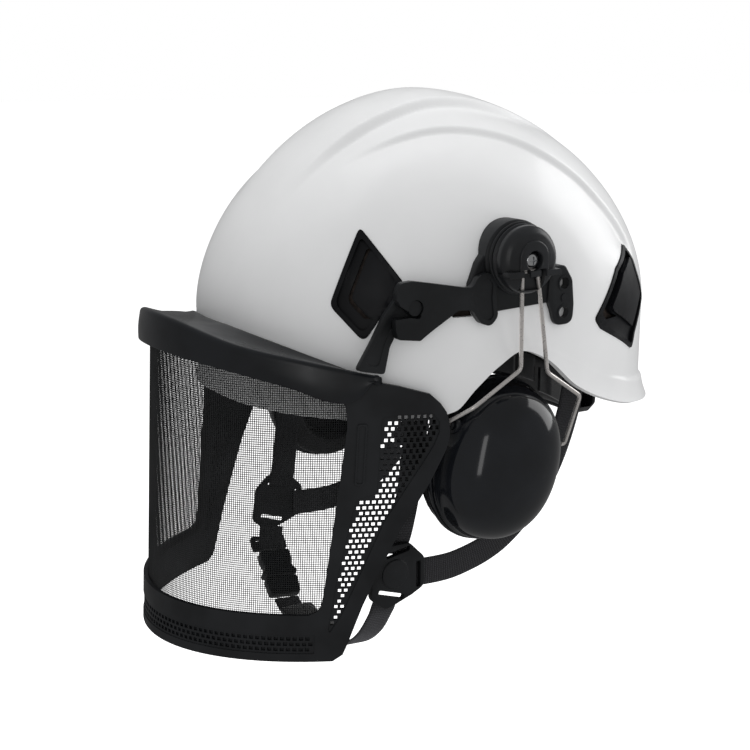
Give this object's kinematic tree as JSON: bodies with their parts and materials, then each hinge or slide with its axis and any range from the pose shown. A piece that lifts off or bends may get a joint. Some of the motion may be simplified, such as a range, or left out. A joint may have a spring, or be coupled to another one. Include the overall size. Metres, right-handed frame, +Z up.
{
  "type": "arborist helmet",
  "caption": "White vented climbing helmet with hinged mesh visor, swing-out ear muffs on wire yokes, geared nape band and buckled chin strap.",
  "frame": {"origin": "centre of the wearer's head in the plane of the headband's lower edge, below the crown", "axes": "-Y out of the front of the helmet, +X to the wearer's left, +Z up"},
  "size_m": [0.258, 0.3213, 0.321],
  "materials": {
    "shell_white": "smooth white moulded shell, satin gloss",
    "vent_black": "fine-grained black",
    "liner_foam": "expanded foam, dull",
    "band_black": "black, slightly glossy",
    "pad_fabric": "black brushed knit over foam",
    "webbing": "black woven webbing",
    "bracket_black": "black, satin moulded",
    "gloss_black": "black, high gloss",
    "frame_black": "dark grey, satin",
    "screen_mesh": "woven wire, black",
    "steel_wire": "bright drawn wire",
    "cushion": "soft black film over foam",
    "foam_grey": "open-cell foam, dark grey"
  },
  "bodies": {
    "helmet": {"shell": "shell_white", "vent_insert_front_left": "vent_black", "vent_insert_front_right": "vent_black", "vent_insert_rear_left": "vent_black", "vent_insert_rear_right": "vent_black", "liner": "liner_foam", "headband": "band_black", "nape_yoke": "band_black", "brow_pad": "pad_fabric", "nape_pad": "pad_fabric", "chin_pad": "pad_fabric", "cradle_strap_left": "webbing", "cradle_strap_right": "webbing", "strap_front_left": "webbing", "strap_front_right": "webbing", "strap_rear_left": "webbing", "strap_rear_right": "webbing", "chin_strap_left": "webbing", "chin_strap_right": "webbing", "chin_strap_middle": "webbing", "muff_bracket_left": "bracket_black", "muff_bracket_right": "bracket_black", "visor_carrier_left": "bracket_black", "visor_carrier_right": "bracket_black", "strap_divider_left": "bracket_black", "strap_divider_right": "bracket_black", "strap_adjuster": "bracket_black", "buckle_socket": "gloss_black", "buckle_plug": "gloss_black", "hub_screw_left": "steel_wire", "hub_screw_right": "steel_wire"},
    "visor": {"brow_guard": "gloss_black", "screen_frame": "frame_black", "mesh_screen": "screen_mesh", "visor_arm_left": "bracket_black", "visor_arm_right": "bracket_black"},
    "muff_hub_left": {"muff_hub_left": "bracket_black"},
    "muff_yoke_left": {"yoke_wire_left": "steel_wire", "wire_sleeve_front_left": "bracket_black", "wire_sleeve_rear_left": "bracket_black"},
    "ear_cup_left": {"ear_cup_left": "gloss_black", "cup_plate_left": "gloss_black", "cup_foam_left": "foam_grey", "cup_cushion_left": "cushion"},
    "muff_hub_right": {"muff_hub_right": "bracket_black"},
    "muff_yoke_right": {"yoke_wire_right": "steel_wire", "wire_sleeve_front_right": "bracket_black", "wire_sleeve_rear_right": "bracket_black"},
    "ear_cup_right": {"ear_cup_right": "gloss_black", "cup_plate_right": "gloss_black", "cup_foam_right": "foam_grey", "cup_cushion_right": "cushion"},
    "ratchet": {"ratchet_knob": "band_black", "ratchet_pinion": "band_black"},
    "band_tail_left": {"band_tail_left": "band_black"},
    "band_tail_right": {"band_tail_right": "band_black"}
  },
  "joints": [
    {"name": "visor_hinge", "type": "hinge", "parent": "helmet", "child": "visor", "pos_m": [0, -0.064, 0.0535], "axis": [-1, 0, 0], "range_deg": [0, 68]},
    {"name": "muff_swivel_left", "type": "hinge", "parent": "helmet", "child": "muff_hub_left", "pos_m": [0.1138, -0.004, 0.0754], "axis": [1, 0, 0], "range_deg": [0, 6]},
    {"name": "muff_flip_left", "type": "hinge", "parent": "muff_hub_left", "child": "muff_yoke_left", "pos_m": [0.122, -0.004, 0.0699], "axis": [0, -1, 0], "range_deg": [0, 30]},
    {"name": "cup_tilt_left", "type": "hinge", "parent": "muff_yoke_left", "child": "ear_cup_left", "pos_m": [0.1025, -0.00386, -0.02158], "axis": [0, 0.9613, -0.2756], "range_deg": [-4, 4]},
    {"name": "muff_swivel_right", "type": "hinge", "parent": "helmet", "child": "muff_hub_right", "pos_m": [-0.1138, -0.004, 0.0754], "axis": [1, 0, 0], "range_deg": [0, 6]},
    {"name": "muff_flip_right", "type": "hinge", "parent": "muff_hub_right", "child": "muff_yoke_right", "pos_m": [-0.122, -0.004, 0.0699], "axis": [0, 1, 0], "range_deg": [0, 30]},
    {"name": "cup_tilt_right", "type": "hinge", "parent": "muff_yoke_right", "child": "ear_cup_right", "pos_m": [-0.1025, -0.00386, -0.02158], "axis": [0, 0.9613, -0.2756], "range_deg": [-4, 4]},
    {"name": "ratchet_turn", "type": "hinge", "parent": "helmet", "child": "ratchet", "pos_m": [0, 0.109, -0.024], "axis": [0, -1, 0], "range_deg": [0, 28]},
    {"name": "band_slide_left", "type": "slide", "parent": "helmet", "child": "band_tail_left", "axis": [-1, 0, 0], "range_m": [0, 0.00293]},
    {"name": "band_slide_right", "type": "slide", "parent": "helmet", "child": "band_tail_right", "axis": [1, 0, 0], "range_m": [0, 0.00293]}
  ],
  "couplings": [
    {"joint": "band_slide_left", "follows": "ratchet_turn", "m_per_rad": 0.006},
    {"joint": "band_slide_right", "follows": "ratchet_turn", "m_per_rad": 0.006}
  ]
}
